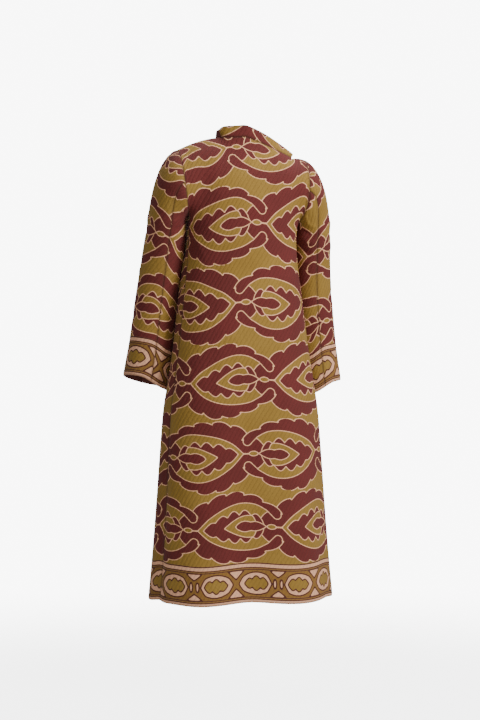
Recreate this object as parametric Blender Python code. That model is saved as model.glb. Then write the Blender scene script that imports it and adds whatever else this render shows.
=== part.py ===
# Long quilted coat, worn open with no wearer in it, hollow and hanging from its shoulders.
# It is sewn from a back, two fronts, two two-piece sleeves, a collar band and two front bands.
# Axes: +X the wearer's left, -Y the front, +Z up. The origin is where the wearer's shoulders carry it,
# on the mid plane, level with the neck points. Sizes are in millimetres and become metres at the end.

import math

import bpy
import numpy as np
from mathutils import kdtree

MM = 0.001

# The cloth
WALL = 4.5
SEAM_GAP = 0.3
QUILT_RISE = 1.5

# Heights
HEM_Z = -1285.0
UNDERARM_Z = -235.0

# The neck and the shoulders. The coat is worn open and has slid to the wearer's right,
# so that its neckline reaches further out there. The left shoulder is carried a little higher.
NAPE = (0.0, 62.0, -6.0)
NECK_POINTS = {"left": (64.0, 30.0, -7.0), "right": (-142.0, 26.0, -52.0)}
SHOULDER_POINTS = {"left": (184.0, 8.0, -50.0), "right": (-184.0, 8.0, -50.0)}
NECK_SHARES = {"left": 0.38, "right": 0.62}
NECKLINE_SAG = {"left": 3.0, "right": 18.0}
SHOULDER_CREST = 0.05
RELAX_ROUNDS = 12
SHOULDER_LEAN = 0.045
BAND_WIDTH = 32.0
BAND_AT_NECK = {"left": (0.26, -0.18, 0.93), "right": (-0.42, -0.80, 0.42)}

# How squarish a body ring is: 1 is an ellipse, less is squarer and more is pointed
BACK_ROUNDNESS = 0.84
FRONT_ROUNDNESS = 1.2

# Mesh counts. Quilting rises and falls from point to point, so that they also set its pitch.
LOW_ROWS = 44
HIGH_ROWS = 12
NECK_COLUMNS = {"left": 5, "right": 9}
SHOULDER_COLUMNS = {"left": 12, "right": 8}
BAND_COLUMNS = 2
CAP_ROWS = 10
ARM_ROWS = 18
BACK_SLEEVE_SEAM = 6
FRONT_SLEEVE_SEAM = 18
INNER_STEP = 2

# Body rings, from the hem to the underarm
BODY_RINGS = {
    "height": (-1285, -1156, -1016, -876, -750, -680, -596, -456, -340, -235),
    "half_width": (262, 250, 239, 229, 218, 207, 193, 175, 160, 154),
    "back_depth": (184, 174, 165, 156, 149, 143, 136, 126, 122, 126),
    "front_depth": (178, 168, 159, 150, 143, 137, 131, 125, 124, 126),
    "seam_angle": (17, 17, 17, 16, 16, 16, 15, 13, 10, 8),
    "front_edge": (74, 71, 68, 65, 62, 60, 58, 55, 53, 54),
}

# Sleeve rings on the wearer's left, from the upper arm to the cuff's edge
SLEEVE_RINGS = {
    "height": (-262, -330, -456, -596, -690),
    "centre_x": (211, 214.5, 225, 239.5, 253.5),
    "centre_y": (-6, -28, -54, -68, -74),
    "half_width": (52, 55.5, 60, 62.5, 64),
    "half_depth": (67, 66, 64, 64, 66),
    "tilt": (6, 7, 8, 10, 14),
}

# Soft folds of the body. Angles go round from the wearer's left (0) by the back (90).
FOLDS = {
    "angle": (18, 56, 86, 117, 146, 196, 232, 252, 288, 322),
    "spread": (8, 15, 13, 16, 12, 14, 10, 9, 10, 14),
    "depth": (-11, 13, -12, 10, -8, 10, -9, 8, 7, -9),
    "top": (-520, -480, -380, -450, -600, -560, -500, -420, -420, -560),
}

# Creases of the sleeves: angle from the outside by the back, height, and how far each runs along the sleeve
SLEEVE_CREASES = {
    "angle": (150, 60, 300, 200, 110),
    "spread": (30, 34, 32, 28, 30),
    "depth": (-1, -4, -5, -3, 4),
    "height": (-330, -420, -400, -520, -600),
    "reach": (60, 70, 75, 70, 70),
}


def smooth_column(table, column, height):
    """The column's value at each height, on a smooth curve through the table's rows."""
    order = np.argsort(table["height"])
    knots = np.asarray(table["height"], float)[order]
    values = np.asarray(table[column], float)[order]
    slopes = np.gradient(values, knots)
    height = np.clip(height, knots[0], knots[-1])
    upper = np.clip(np.searchsorted(knots, height), 1, len(knots) - 1)
    span = knots[upper] - knots[upper - 1]
    t = (height - knots[upper - 1]) / span
    return (
        (2 * t**3 - 3 * t**2 + 1) * values[upper - 1]
        + (t**3 - 2 * t**2 + t) * span * slopes[upper - 1]
        + (3 * t**2 - 2 * t**3) * values[upper]
        + (t**3 - t**2) * span * slopes[upper]
    )


def hermite(start, start_pull, end, end_pull, t):
    """A curve from start to end that leaves and arrives along the two pulls."""
    return (
        (2 * t**3 - 3 * t**2 + 1) * start
        + (t**3 - 2 * t**2 + t) * start_pull
        + (3 * t**2 - 2 * t**3) * end
        + (t**3 - t**2) * end_pull
    )


def smooth_step(t):
    t = np.clip(t, 0.0, 1.0)
    return t * t * (3 - 2 * t)


def ring_stretch(height, first_angle, last_angle, shares):
    """Points at the given shares of the arc along one body ring, between two angles in degrees."""
    angles = np.radians(np.linspace(first_angle, last_angle, 721))
    behind = np.sin(angles) > 0
    depth = np.where(
        behind,
        smooth_column(BODY_RINGS, "back_depth", height),
        smooth_column(BODY_RINGS, "front_depth", height),
    )
    power = np.where(behind, BACK_ROUNDNESS, FRONT_ROUNDNESS)
    half_width = smooth_column(BODY_RINGS, "half_width", height)
    x = half_width * np.sign(np.cos(angles)) * np.abs(np.cos(angles)) ** power
    y = depth * np.sign(np.sin(angles)) * np.abs(np.sin(angles)) ** power
    arc = np.concatenate([[0], np.cumsum(np.hypot(np.diff(x), np.diff(y)))])
    wanted = np.asarray(shares) * arc[-1]
    flat = np.stack([np.interp(wanted, arc, x), np.interp(wanted, arc, y)], -1)
    return np.concatenate([flat, np.full((len(flat), 1), height)], -1)


def front_angle(height):
    """Where on its ring the left front panel ends, in degrees."""
    edge = smooth_column(BODY_RINGS, "front_edge", height)
    half_width = smooth_column(BODY_RINGS, "half_width", height)
    return -math.degrees(math.acos((edge / half_width) ** (1 / FRONT_ROUNDNESS)))


def back_shares():
    """Where the back's columns lie across it, from -1 at the wearer's left to 1 at the right."""
    neck, shoulder = NECK_COLUMNS, SHOULDER_COLUMNS
    return np.concatenate(
        [
            np.linspace(-1, -NECK_SHARES["left"], shoulder["left"] + 1)[:-1],
            np.linspace(-NECK_SHARES["left"], 0, neck["left"] + 1)[:-1],
            np.linspace(0, NECK_SHARES["right"], neck["right"] + 1)[:-1],
            np.linspace(NECK_SHARES["right"], 1, shoulder["right"] + 1),
        ]
    )


def shoulder_seam(hand, shares):
    """Points along one shoulder seam, from the neck point to the shoulder point."""
    neck, shoulder = np.array(NECK_POINTS[hand]), np.array(SHOULDER_POINTS[hand])
    shares = np.asarray(shares, float)[:, None]
    crest = SHOULDER_CREST * np.linalg.norm(shoulder - neck) * np.sin(np.pi * shares)
    return neck + (shoulder - neck) * shares + crest * np.array([0.0, 0.0, 1.0])


def back_top_row(shares):
    """The back's top edge from the wearer's left to right: shoulder seam, neckline, shoulder seam."""
    nape = np.array(NAPE)
    points = []
    for share in shares:
        hand = "right" if share > 0 else "left"
        neck = np.array(NECK_POINTS[hand])
        reach = NECK_SHARES[hand]
        if abs(share) > reach:
            points.append(shoulder_seam(hand, [(abs(share) - reach) / (1 - reach)])[0])
            continue
        turn = abs(share) / reach * math.pi / 2
        centre = np.array([0.0, neck[1], neck[2]])
        sag = np.array([0.0, 0.0, NECKLINE_SAG[hand]])
        across = np.array([neck[0], 0.0, 0.0])
        rise = nape - centre
        points.append(
            centre + across * math.sin(turn) + rise * math.cos(turn) - sag * math.sin(2 * turn)
        )
    return np.array(points)


def back_rows():
    """The back panel's points, rows from the hem up and columns from the wearer's left to right."""
    shares = back_shares()
    rows = []
    for height in np.linspace(HEM_Z, UNDERARM_Z, LOW_ROWS + 1):
        seam = smooth_column(BODY_RINGS, "seam_angle", height)
        rows.append(ring_stretch(height, seam, 180 - seam, (shares + 1) / 2))
    base, top = rows[-1], back_top_row(shares)
    side = np.abs(shares)[:, None]
    hand = -np.sign(shares)[:, None]
    edge = smooth_step((side - 0.62) / 0.38)
    over = smooth_step((side - 0.15) / 0.4)
    rise = np.array([0.0, 14.0, 225.0])
    scoop = np.concatenate([72 * hand, np.full_like(side, 300), np.full_like(side, 45)], 1)
    start_pull = rise + (scoop - rise) * edge
    nape_pull = np.array([0.0, -115.0, 190.0])
    shoulder_pull = np.array([0.0, -270.0, 75.0])
    end_pull = nape_pull + (shoulder_pull - nape_pull) * over
    for t in np.linspace(0, 1, HIGH_ROWS + 1)[1:]:
        rows.append(hermite(base, start_pull, top, end_pull, t))
    return np.array(rows)


def front_rows(hand):
    """One front's points, rows from the hem up and columns from the front edge to the side."""
    shares = np.linspace(0, 1, SHOULDER_COLUMNS[hand] + 1)
    sign = np.array([1.0 if hand == "left" else -1.0, 1.0, 1.0])
    rows = []
    for height in np.linspace(HEM_Z, UNDERARM_Z, LOW_ROWS + 1):
        seam = smooth_column(BODY_RINGS, "seam_angle", height)
        rows.append(ring_stretch(height, front_angle(height), seam, shares) * sign)
    base = rows[-1]
    side = shares[:, None]
    top = shoulder_seam(hand, shares)
    edge = smooth_step((side - 0.3) / 0.7)
    rise = np.array([6.0, -6.0, 225.0])
    scoop = np.array([-4.0, -330.0, 60.0])
    over_neck = np.array([14.0, 250.0, 105.0])
    over_shoulder = np.array([14.0, 306.0, 85.0])
    start_pull = (rise + (scoop - rise) * edge) * sign
    end_pull = (over_neck + (over_shoulder - over_neck) * side) * sign
    for t in np.linspace(0, 1, HIGH_ROWS + 1)[1:]:
        rows.append(hermite(base, start_pull, top, end_pull, t))
    return np.array(rows)


def band_direction(hand, share_up):
    """Which way a front band leaves the front's edge: flat to the middle, and standing at the neck."""
    flat = np.array([-1.0 if hand == "left" else 1.0, 0.0, 0.0])
    standing = np.array(BAND_AT_NECK[hand])
    way = flat + (standing - flat) * smooth_step(share_up)
    return way / np.linalg.norm(way)


def front_band_rows(hand, front):
    """One front band, columns from its free edge to the seam."""
    across = np.linspace(BAND_WIDTH, 0, BAND_COLUMNS + 1)[:, None]
    share_up = np.concatenate([np.zeros(LOW_ROWS), np.linspace(0, 1, HIGH_ROWS + 1)])
    seam = front[:, 0]
    return np.array([p + across * band_direction(hand, u) for p, u in zip(seam, share_up)])


def collar_rows(back):
    """The collar, rows from the neck seam up and columns from the wearer's left to right."""
    first = SHOULDER_COLUMNS["left"]
    left, right = NECK_COLUMNS["left"], NECK_COLUMNS["right"]
    seam = back[-1, first : first + left + right + 1]
    at_nape = np.array([0.0, 0.12, 0.99])
    ways = []
    for column in range(left + right + 1):
        hand = "left" if column < left else "right"
        share = (left - column) / left if hand == "left" else (column - left) / right
        way = at_nape + (band_direction(hand, 1.0) - at_nape) * smooth_step(share**0.6)
        ways.append(way / np.linalg.norm(way))
    up = np.linspace(0, BAND_WIDTH, BAND_COLUMNS + 1)
    return np.array([seam + u * np.array(ways) for u in up])


def relaxed(rows):
    """Evens out the inside of a panel above the underarm's level, with its edges left in place."""
    rows = rows.copy()
    first = LOW_ROWS - 4
    for _ in range(RELAX_ROUNDS):
        inner = rows[first:-1, 1:-1]
        around = rows[first - 1 : -2, 1:-1] + rows[first + 1 :, 1:-1]
        around = around + rows[first:-1, :-2] + rows[first:-1, 2:]
        rows[first:-1, 1:-1] = inner * 0.5 + around * 0.125
    return rows


def armhole(back, front):
    """The left armhole from the shoulder point down the back to the underarm and up the front."""
    return np.concatenate([back[LOW_ROWS:, 0][::-1], front[LOW_ROWS:, -1][1:]])


def lean(points, hangs_from_shoulder):
    """Carries the left side higher and the right side lower, from the waist up or for a whole sleeve."""
    reach = np.clip(points[..., 0], SHOULDER_POINTS["right"][0], SHOULDER_POINTS["left"][0])
    share = 1.0 if hangs_from_shoulder else smooth_step((points[..., 2] + 620) / 380)
    moved = points.copy()
    moved[..., 2] += SHOULDER_LEAN * reach * share
    return moved


def sleeve_ring(height, angles):
    """One ring of the left sleeve. Angles go from the outside by the back."""
    column = {name: smooth_column(SLEEVE_RINGS, name, height) for name in SLEEVE_RINGS}
    out = column["half_width"] * np.cos(angles)
    back = column["half_depth"] * np.sin(angles)
    lift = out * math.tan(math.radians(column["tilt"])) + back * math.tan(math.radians(5))
    centre = np.array([column["centre_x"], column["centre_y"], height])
    return centre + np.stack([out, back, lift], -1)


def crease_sleeve(points, angles):
    """Pushes a sleeve ring's points in or out where the creases of the sleeve run."""
    centre = points.mean(0)
    outward = points - centre
    outward /= np.linalg.norm(outward, axis=1)[:, None]
    push = np.zeros(len(points))
    degrees = np.degrees(angles)
    for angle, spread, depth, height, reach in zip(*SLEEVE_CREASES.values()):
        apart = (degrees - angle + 180) % 360 - 180
        along = (centre[2] - height) / reach
        push += depth * np.exp(-((apart / spread) ** 2) - along**2)
    return points + outward * push[:, None]


def sleeve_rows(hole):
    """The left sleeve, rows from the cuff's edge up to the armhole, columns round from the outside."""
    count = len(hole)
    angles = np.linspace(0, 2 * math.pi, count)
    top_ring = sleeve_ring(SLEEVE_RINGS["height"][0], angles)
    outside = (1 + np.cos(angles))[:, None] / 2
    backward = np.sin(angles)[:, None]
    leave_top = np.array([165.0, 0.0, -70.0])
    leave_under = np.array([34.0, 0.0, -16.0])
    start_pull = leave_under + (leave_top - leave_under) * outside
    start_pull[:, 1] += 26 * backward[:, 0]
    drop = np.linalg.norm(top_ring - hole, axis=1)[:, None]
    end_pull = np.array([0.10, -0.10, -1.0]) * drop * 1.05
    cap = [hermite(hole, start_pull, top_ring, end_pull, t) for t in np.linspace(0, 1, CAP_ROWS + 1)]
    first, last = SLEEVE_RINGS["height"][0], SLEEVE_RINGS["height"][-1]
    arm = [
        crease_sleeve(sleeve_ring(height, angles), angles)
        for height in np.linspace(first, last, ARM_ROWS + 1)[1:]
    ]
    return np.array((cap + arm)[::-1])


def drape(points):
    """Moves the body's points in and out where its folds run, more towards the hem."""
    height = points[..., 2]
    half_width = smooth_column(BODY_RINGS, "half_width", height)
    depth = smooth_column(BODY_RINGS, "back_depth", height)
    across, through = points[..., 0] / half_width, points[..., 1] / depth
    degrees = np.degrees(np.arctan2(through, across)) % 360
    push = np.zeros_like(height)
    for angle, spread, rise, top in zip(*FOLDS.values()):
        apart = (degrees - angle + 180) % 360 - 180
        push += rise * np.exp(-((apart / spread) ** 2)) * smooth_step((top - height) / (top - HEM_Z))
    way = np.stack([across / half_width, through / depth, np.zeros_like(height)], -1)
    way /= np.maximum(np.linalg.norm(way, axis=-1, keepdims=True), 1e-9)
    moved = points + way * push[..., None]
    moved[..., 2] -= 0.35 * push * smooth_step((-900 - height) / 300)
    return moved


def turned_round(rows):
    """The same panel with its columns in the other order, so that its other side is the outside."""
    return rows[:, ::-1]


def mirrored(rows):
    """The same panel on the wearer's right, still facing out."""
    return turned_round(rows * np.array([-1, 1, 1]))


def outward_normals(rows):
    down_up = np.gradient(rows, axis=0)
    left_right = np.gradient(rows, axis=1)
    normals = np.cross(left_right, down_up)
    return normals / np.maximum(np.linalg.norm(normals, axis=-1, keepdims=True), 1e-9)


def edge_mask(rows):
    mask = np.zeros(rows.shape[:2], bool)
    mask[[0, -1], :] = True
    mask[:, [0, -1]] = True
    return mask


def share_seam_normals(panels, normals):
    """Where panels meet, their walls end in one common plane, so that they never cut into each other."""
    masks = {name: edge_mask(rows) for name, rows in panels.items()}
    points = np.concatenate([panels[n][masks[n]] for n in panels])
    ways = np.concatenate([normals[n][masks[n]] for n in panels])
    tree = kdtree.KDTree(len(points))
    for index, point in enumerate(points):
        tree.insert(point, index)
    tree.balance()
    shared = np.array([ways[[i for _, i, _ in tree.find_range(p, 0.05)]].sum(0) for p in points])
    shared /= np.maximum(np.linalg.norm(shared, axis=1)[:, None], 1e-9)
    start = 0
    for name in panels:
        count = masks[name].sum()
        normals[name][masks[name]] = shared[start : start + count]
        start += count


def inset_edges(rows):
    """Draws a panel in from its seam lines by half the seam gap."""
    drawn = rows.copy()
    for axis in (0, 1):
        along = np.moveaxis(drawn, axis, 0)
        for edge, inside in ((0, 1), (-1, -2)):
            step = along[inside] - along[edge]
            step /= np.linalg.norm(step, axis=1)[:, None]
            along[edge] += step * SEAM_GAP / 2
    return drawn


def pressed_flat(rows):
    """Where the sleeve and the body's side lie against each other, so that the quilting doesn't rise."""
    x, y, z = np.abs(rows[..., 0]), rows[..., 1], rows[..., 2]
    near_side = (x > 120) & (x < 215) & (y > -125) & (y < 30)
    return near_side & (z < UNDERARM_Z + 20) & (z > -720)


def quilting(rows):
    """Channels that run up to the right: each point rises or stays, in turn along its row and column."""
    row, column = np.indices(rows.shape[:2])
    rise = QUILT_RISE * ((row - column) % 2)
    rise[edge_mask(rows) | pressed_flat(rows)] = 0
    return rise


def stations(count, step):
    """Every step-th grid line, and always the last."""
    return sorted(set(range(0, count, step)) | {count - 1})


def wall_faces(rows, columns, inner_rows, inner_columns):
    """Triangles of a closed wall: a fine outer grid, a coarse inner grid, and strips that join their edges."""
    faces = []
    base = rows * columns

    def outer(i, j):
        return i * columns + j

    def inner(i, j):
        return base + i * len(inner_columns) + j

    for i in range(rows - 1):
        for j in range(columns - 1):
            a, b, c, d = outer(i, j), outer(i, j + 1), outer(i + 1, j + 1), outer(i + 1, j)
            faces += [(a, b, c), (a, c, d)]
    for i in range(len(inner_rows) - 1):
        for j in range(len(inner_columns) - 1):
            a, b, c, d = inner(i, j), inner(i, j + 1), inner(i + 1, j + 1), inner(i + 1, j)
            faces += [(a, c, b), (a, d, c)]

    def strip(fine, fine_stations, coarse, flip):
        for k in range(len(coarse) - 1):
            first, last = fine_stations[k], fine_stations[k + 1]
            middle = (first + last) // 2
            made = [(coarse[k], fine[m + 1], fine[m]) for m in range(first, middle)]
            made.append((coarse[k], coarse[k + 1], fine[middle]))
            made += [(coarse[k + 1], fine[m + 1], fine[m]) for m in range(middle, last)]
            faces.extend([f[::-1] for f in made] if flip else made)

    last_row, last_column = len(inner_rows) - 1, len(inner_columns) - 1
    strip(
        [outer(0, j) for j in range(columns)],
        inner_columns,
        [inner(0, j) for j in range(len(inner_columns))],
        False,
    )
    strip(
        [outer(rows - 1, j) for j in range(columns)],
        inner_columns,
        [inner(last_row, j) for j in range(len(inner_columns))],
        True,
    )
    strip(
        [outer(i, 0) for i in range(rows)],
        inner_rows,
        [inner(i, 0) for i in range(len(inner_rows))],
        True,
    )
    strip(
        [outer(i, columns - 1) for i in range(rows)],
        inner_rows,
        [inner(i, last_column) for i in range(len(inner_rows))],
        False,
    )
    return faces


def add_wall(name, rows, normals, material):
    """One cloth panel as a closed solid: quilted outside, plain inside."""
    drawn = inset_edges(rows)
    outside = drawn + normals * quilting(rows)[..., None]
    inside = drawn - normals * WALL
    inner_rows = stations(rows.shape[0], INNER_STEP)
    inner_columns = stations(rows.shape[1], INNER_STEP)
    coarse = inside[np.ix_(inner_rows, inner_columns)]
    points = np.concatenate([outside.reshape(-1, 3), coarse.reshape(-1, 3)]) * MM
    faces = wall_faces(rows.shape[0], rows.shape[1], inner_rows, inner_columns)
    mesh = bpy.data.meshes.new(name)
    mesh.from_pydata(points.tolist(), [], faces)
    mesh.materials.append(material)
    bpy.context.scene.collection.objects.link(bpy.data.objects.new(name, mesh))


def cloth(name, colour, roughness):
    material = bpy.data.materials.new(name)
    material.use_nodes = True
    shader = material.node_tree.nodes["Principled BSDF"]
    shader.inputs["Base Color"].default_value = (*colour, 1.0)
    shader.inputs["Roughness"].default_value = roughness
    shader.inputs["Metallic"].default_value = 0.0
    return material


def main():
    for obj in list(bpy.data.objects):
        bpy.data.objects.remove(obj)

    back = relaxed(back_rows())
    left_front = relaxed(front_rows("left"))
    right_front = relaxed(front_rows("right"))
    sleeve = sleeve_rows(armhole(back, left_front))
    seams = (BACK_SLEEVE_SEAM, FRONT_SLEEVE_SEAM)
    under_sleeve = sleeve[:, seams[0] : seams[1] + 1]
    top_sleeve = np.concatenate([sleeve[:, seams[1] : -1], sleeve[:, : seams[0] + 1]], 1)
    body = {
        "back": back,
        "front_left": left_front,
        "front_right": turned_round(right_front),
        "front_band_left": front_band_rows("left", left_front),
        "front_band_right": turned_round(front_band_rows("right", right_front)),
        "collar": collar_rows(back),
    }
    sleeves = {
        "sleeve_left_top": top_sleeve,
        "sleeve_left_under": under_sleeve,
        "sleeve_right_top": mirrored(top_sleeve),
        "sleeve_right_under": mirrored(under_sleeve),
    }
    panels = {name: lean(drape(rows), False) for name, rows in body.items()}
    panels.update({name: lean(rows, True) for name, rows in sleeves.items()})
    normals = {name: outward_normals(rows) for name, rows in panels.items()}
    share_seam_normals(panels, normals)

    figured = cloth("figured_cloth", (0.36, 0.20, 0.07), 0.85)
    band_cloth = cloth("band_cloth", (0.19, 0.04, 0.035), 0.85)
    for name, rows in panels.items():
        narrow = "band" in name or name == "collar"
        add_wall(name, rows, normals[name], band_cloth if narrow else figured)


main()
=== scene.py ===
# A long quilted coat of figured cloth, hollow and hanging as it is worn, seen from behind.
# Each sewn panel is built on the surface that its CAD solid has, then refined, quilted and dyed.
# Panels are worked out in millimetres and become metres when their meshes are made.

import math

import bpy
import numpy as np
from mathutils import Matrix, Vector, kdtree


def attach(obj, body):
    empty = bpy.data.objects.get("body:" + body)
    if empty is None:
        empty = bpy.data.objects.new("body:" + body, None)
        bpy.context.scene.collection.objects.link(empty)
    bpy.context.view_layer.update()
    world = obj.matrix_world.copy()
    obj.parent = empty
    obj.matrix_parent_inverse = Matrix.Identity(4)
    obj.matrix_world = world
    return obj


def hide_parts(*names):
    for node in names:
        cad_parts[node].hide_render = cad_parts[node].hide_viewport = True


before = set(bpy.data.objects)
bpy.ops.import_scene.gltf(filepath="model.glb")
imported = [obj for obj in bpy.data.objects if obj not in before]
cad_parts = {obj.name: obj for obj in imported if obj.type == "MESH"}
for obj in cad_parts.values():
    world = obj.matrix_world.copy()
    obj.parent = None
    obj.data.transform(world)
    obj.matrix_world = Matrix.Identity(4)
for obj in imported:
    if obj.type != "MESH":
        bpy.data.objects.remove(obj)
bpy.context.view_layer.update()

MM = 0.001


# ---------------------------------------------------------------------------------------------
# The figured cloth's design: rows of lobed palmettes lying on their sides, and a plaited border.
# Every outline is worked out from a few sizes, as smooth runs that meet at points, upper half only.
# ---------------------------------------------------------------------------------------------

REPEAT = 235.0
ROW_PITCH = 207.5
ROW_HEIGHT = 1.05
FIRST_ROW = 206.0
BORDER = 108.0
PLAIT_HEIGHT = 52.35
TILT_FADE = 260.0
SINK_MIDDLE = 621.0
SINK_SPAN = 264.0
SLANT_PIVOT = 600.0
SHAPES = ("even_leaf", "odd_leaf", "palmette", "heart", "finger", "drop")

ROOT = -70.0
CROWN = 98.0
CURL = {"x": 222.0, "height": 36.0, "round": 12.0}
FRAME_LOBES = 6
LOBE = 10.0
FIELD_HEIGHT = 70.0
UNDER_AXIS = -6.0
PLAIT_TOP = 36.0


def petal(start, end, rise, fore, aft, lobes=1, depth=0.0, floor=0.0):
    """Half a petal over the axis. Its two powers set how blunt its ends are, and lobes scallop its edge."""
    crest = fore / (fore + aft)
    share = np.linspace(0, 1, 9)
    runs = []
    for lobe in range(lobes):
        s = (lobe + share) / lobes
        y = rise * (s / crest) ** fore * ((1 - s) / (1 - crest)) ** aft
        y = y * (1 - depth + depth * np.sin(np.pi * share))
        runs.append(list(zip(start + (end - start) * s, floor + y)))
    return runs


def closed_petal(start, end, *sizes, **more):
    """A petal with its other half cut off a little below the axis."""
    foot = [[(end, 0), (end, UNDER_AXIS)], [(end, UNDER_AXIS), (start, UNDER_AXIS)]]
    return petal(start, end, *sizes, **more) + foot


def frame_leaf():
    """A toothed leaf that arches over half a medallion, from its root to its rounded end."""
    runs = []
    for lobe in range(FRAME_LOBES):
        share = np.linspace(0, 1, 6)
        t = (lobe + share) / FRAME_LOBES
        x = ROOT + (CURL["x"] + CURL["round"] - ROOT) * t
        y = CURL["height"] * t + (CROWN - CURL["height"] / 2) * np.sin(np.pi * t) ** 0.9
        away = np.stack([-np.gradient(y), np.gradient(x)], 1)
        away = away / np.linalg.norm(away, axis=1)[:, None]
        edge = np.stack([x, y], 1) + away * (LOBE * np.sin(0.8 * np.pi * share))[:, None]
        if runs:
            runs.append([tuple(runs[-1][-1]), tuple(edge[0])])
        runs.append([tuple(point) for point in edge])
    turn = np.linspace(0.5, -2.6, 7)
    end = [
        (CURL["x"] + CURL["round"] * math.cos(angle), CURL["height"] + CURL["round"] * math.sin(angle))
        for angle in turn
    ]
    runs += [[runs[-1][-1], end[0]], end]
    inner = petal(0, CURL["x"], FIELD_HEIGHT, 0.85, 0.6, floor=1)[0][::-1][1:]
    return runs + [[end[-1], inner[0]], inner, [(0, 1), (ROOT / 2, 0.7), (ROOT, 0.7)]]


def wedge(middle, half_width, depth, bend):
    """A pale corner between two strands, hanging from the plait's edge."""
    share = np.linspace(0, 1, 6)
    height = PLAIT_TOP - depth * share**bend
    left = list(zip(middle - half_width * (1 - share), height))
    right = list(zip(middle + half_width * (1 - share[::-1]), height[::-1]))
    return [left, right, [right[-1], left[0]]]


FRAME_LEAF = frame_leaf()
PALMETTE = closed_petal(14, 186, 50, 0.8, 0.5, lobes=5, depth=0.3)
HEART = closed_petal(72, 168, 33, 1.0, 0.4)
FINGER = closed_petal(104, 192, 17, 0.6, 0.8, lobes=2, depth=0.25)
DROP = closed_petal(192, 220, 7, 0.8, 0.8)

EYE = closed_petal(8, 100, 30, 0.6, 0.5)
BUD = closed_petal(24, 90, 20, 0.7, 0.6, lobes=3, depth=0.4)
LENS = closed_petal(104, 113, 13, 0.6, 0.6)
WEDGE_SHARP = wedge(0, 24, 24, 1.0)
WEDGE_ROUND = wedge(REPEAT / 2, 22, 18, 0.8)


def smooth_run(points, steps=7):
    """A Catmull-Rom line through the points."""
    points = np.asarray(points, float)
    if len(points) < 3:
        return points
    slopes = np.gradient(points, axis=0)
    t = np.linspace(0, 1, steps, endpoint=False)[:, None]
    line = []
    for a, b, m, n in zip(points[:-1], points[1:], slopes[:-1], slopes[1:]):
        line.append(
            (2 * t**3 - 3 * t**2 + 1) * a
            + (t**3 - 2 * t**2 + t) * m
            + (3 * t**2 - 2 * t**3) * b
            + (t**3 - t**2) * n
        )
    return np.concatenate(line + [points[-1:]])


def signed_distance(runs, x, y):
    """Millimetres from each place to the closed outline, and more than zero inside it."""
    line = np.concatenate([smooth_run(run)[:-1] for run in runs] + [np.array(runs[-1][-1:], float)])
    ahead = np.roll(line, -1, axis=0)
    nearest = np.full(x.shape, 1e9)
    inside = np.zeros(x.shape, bool)
    for (ax, ay), (bx, by) in zip(line, ahead):
        square = (bx - ax) ** 2 + (by - ay) ** 2 + 1e-9
        along = np.clip(((x - ax) * (bx - ax) + (y - ay) * (by - ay)) / square, 0, 1)
        nearest = np.minimum(nearest, (x - ax - along * (bx - ax)) ** 2 + (y - ay - along * (by - ay)) ** 2)
        if by != ay:
            inside ^= ((ay > y) != (by > y)) & (x < (bx - ax) * (y - ay) / (by - ay) + ax)
    return np.where(inside, 1, -1) * np.sqrt(nearest)


def row_fields():
    """Two repeats of a palmette row on a 1 mm grid, from the axis up: one signed distance for each shape."""
    x, y = np.meshgrid(np.arange(-2 * REPEAT, 2 * REPEAT + 1), np.arange(0, 125.0))
    columns = np.arange(int(2 * REPEAT) + 1)

    def placed(field, place):
        return field[:, np.clip(columns + int((2 - place) * REPEAT), 0, field.shape[1] - 1)]

    # Every leaf's crown lies over the next leaf's root. Leaves at even and odd places are kept apart.
    leaf = signed_distance(FRAME_LEAF, x, y)
    leaves = {place: placed(leaf, place) for place in (-1, 0, 1, 2)}
    under = {place: np.minimum(leaves[place], -leaves[place - 1]) for place in (0, 1, 2)}
    fields = [np.maximum(under[0], under[2]), np.maximum(leaves[-1], under[1])]
    for runs in (PALMETTE, HEART, FINGER, DROP):
        shape = signed_distance(runs, x, y)
        fields.append(np.max([placed(shape, place) for place in (-1, 0, 1, 2)], 0))
    return fields


def border_fields():
    """Half a repeat of the plait on a 1 mm grid: distance into the pale cloth, and into the buds."""
    x, y = np.meshgrid(np.arange(0, REPEAT / 2 + 1), np.arange(0, 37.0))
    pale = np.full(x.shape, -40.0)
    for runs in (EYE, LENS, WEDGE_SHARP, WEDGE_ROUND):
        pale = np.maximum(pale, signed_distance(runs, x, y))
    bud = signed_distance(BUD, x, y)
    return pale, bud


def sampled(field, x, y):
    """The field's value between its grid's points."""
    x = np.clip(x, 0, field.shape[1] - 1.001)
    y = np.clip(y, 0, field.shape[0] - 1.001)
    i, j = y.astype(int), x.astype(int)
    s, t = y - i, x - j
    low = field[i, j] * (1 - t) + field[i, j + 1] * t
    high = field[i + 1, j] * (1 - t) + field[i + 1, j + 1] * t
    return low * (1 - s) + high * s


def dyed(across, up, shift, turn, slant, tilt, sunk, border_shift):
    """Every distance field of a panel's cloth, at places given in flat millimetres."""
    level = up - tilt * across * smooth_step((up - BORDER) / TILT_FADE)
    level = level + sunk[0] + sunk[1] * np.cos((up - SINK_MIDDLE) / SINK_SPAN)
    row = np.floor((level - FIRST_ROW) / ROW_PITCH + 0.5)
    off_axis = np.abs(level - FIRST_ROW - row * ROW_PITCH)
    turned = (row + turn) % 2 == 1
    border_x = np.abs((across - border_shift + REPEAT / 2) % REPEAT - REPEAT / 2)
    across = across - slant * (up - SLANT_PIVOT)
    x = np.where(turned, shift[1] - across, across - shift[0]) % (2 * REPEAT)
    y = np.abs(up - PLAIT_HEIGHT)
    row = [sampled(field, x, off_axis * ROW_HEIGHT) for field in ROW]
    return [*row, sampled(PLAIT, border_x, y), sampled(BUDS, border_x, y)]


ROW = row_fields()
PLAIT, BUDS = border_fields()


# ---------------------------------------------------------------------------------------------
# The panels' surfaces, the same as in the CAD part
# ---------------------------------------------------------------------------------------------

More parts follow.
